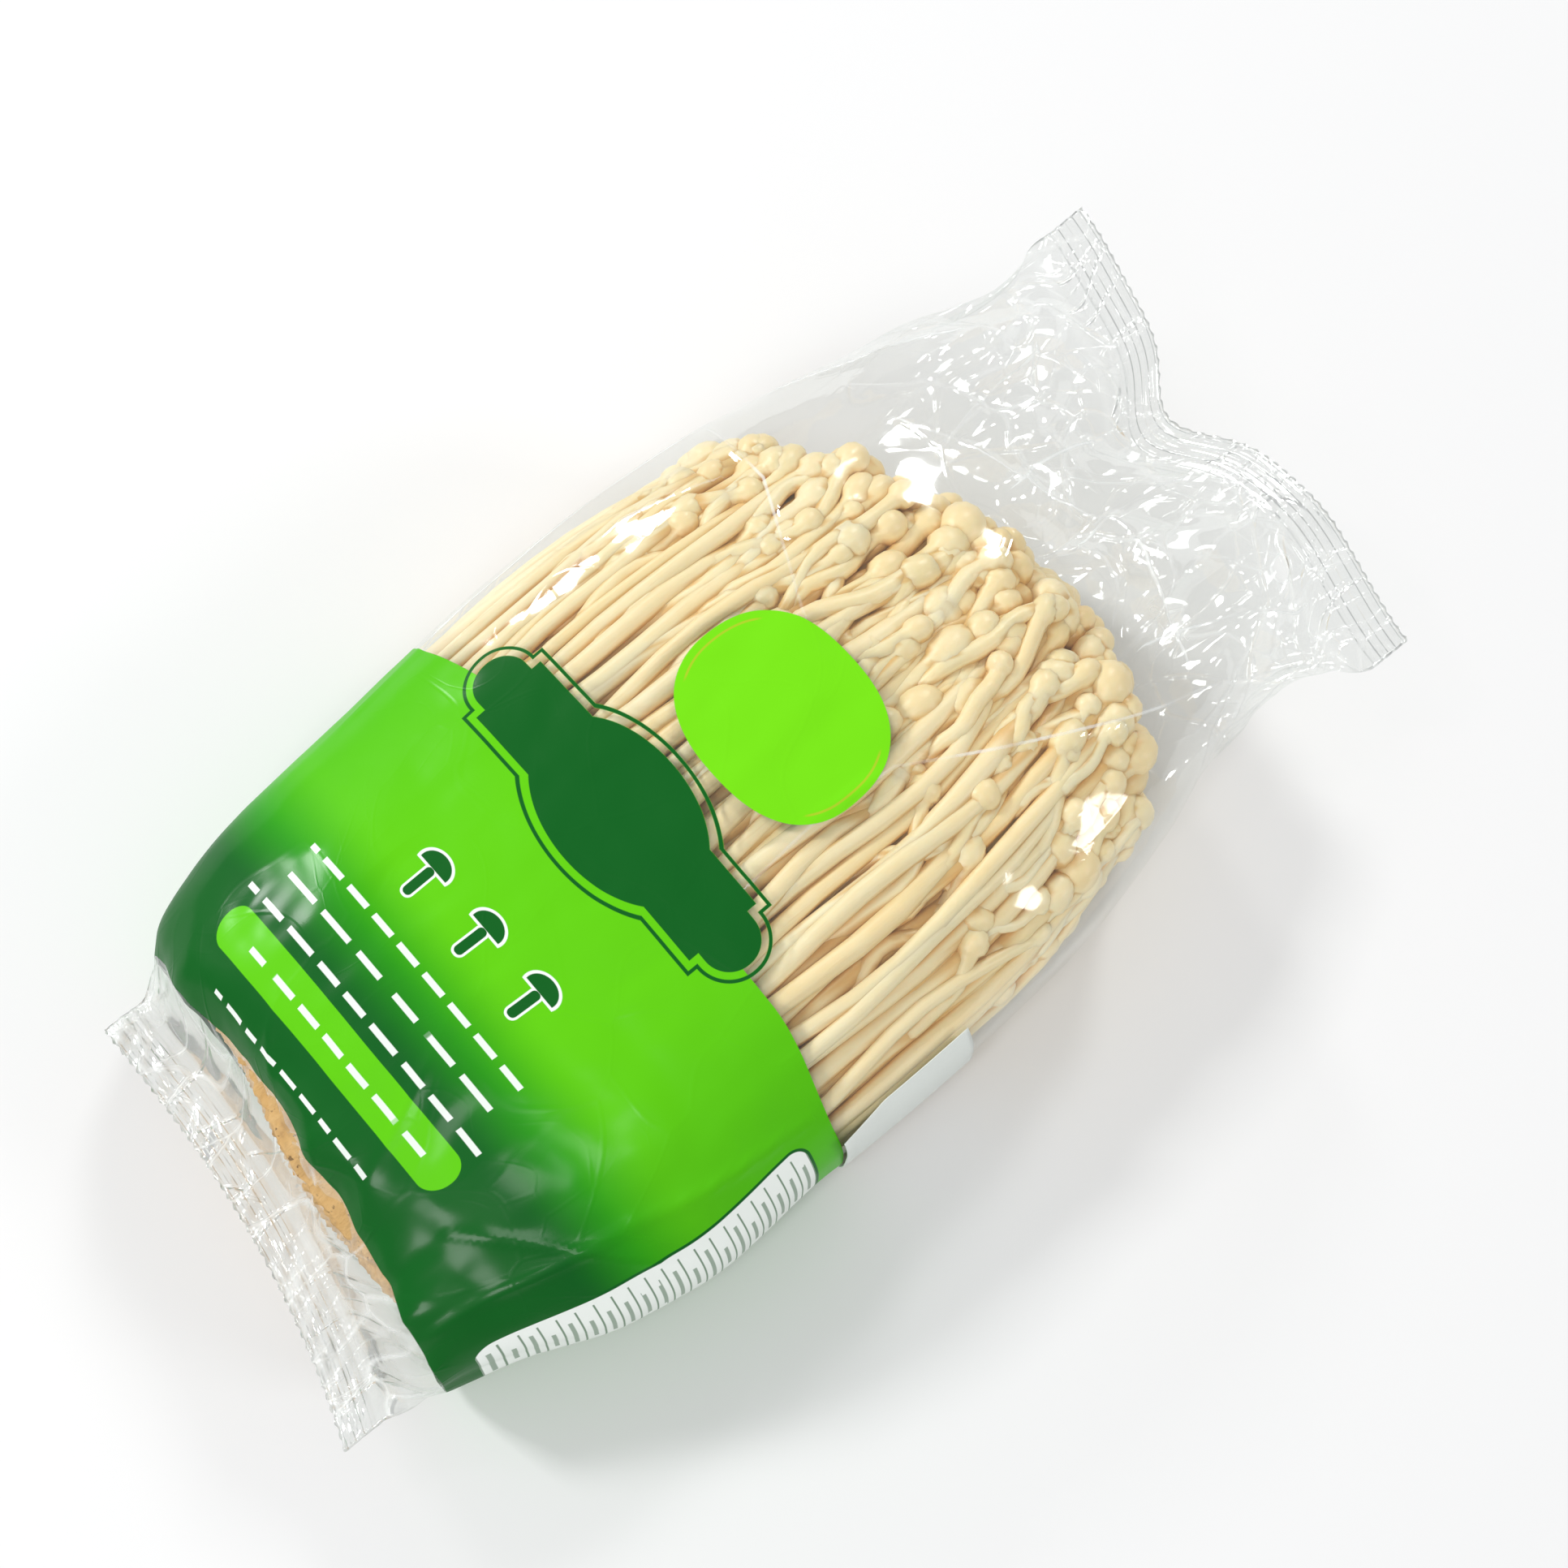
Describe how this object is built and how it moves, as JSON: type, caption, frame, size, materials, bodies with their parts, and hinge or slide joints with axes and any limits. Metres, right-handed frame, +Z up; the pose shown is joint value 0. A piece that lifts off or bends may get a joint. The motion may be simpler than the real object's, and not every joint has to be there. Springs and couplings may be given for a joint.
{
  "type": "enoki mushroom bunch",
  "caption": "Pale bunch of enoki mushrooms with a tan root, in a clear printed film bag that is welded flat at both ends and lies on its back.",
  "frame": {"origin": "middle of the bag's outline in plan, on the surface that it lies on", "axes": "+X along the bag from the root end to the caps, +Y across it, +Z up"},
  "size_m": [0.2457, 0.1207, 0.0463],
  "materials": {
    "film": "clear glossy film",
    "mushroom": "smooth and slightly moist",
    "root": "rough and fibrous",
    "paper": "smooth coated paper"
  },
  "bodies": {
    "root": {"film_bag": "film", "mushroom_bunch": "mushroom", "root_base": "root", "side_label": "paper"}
  },
  "joints": []
}
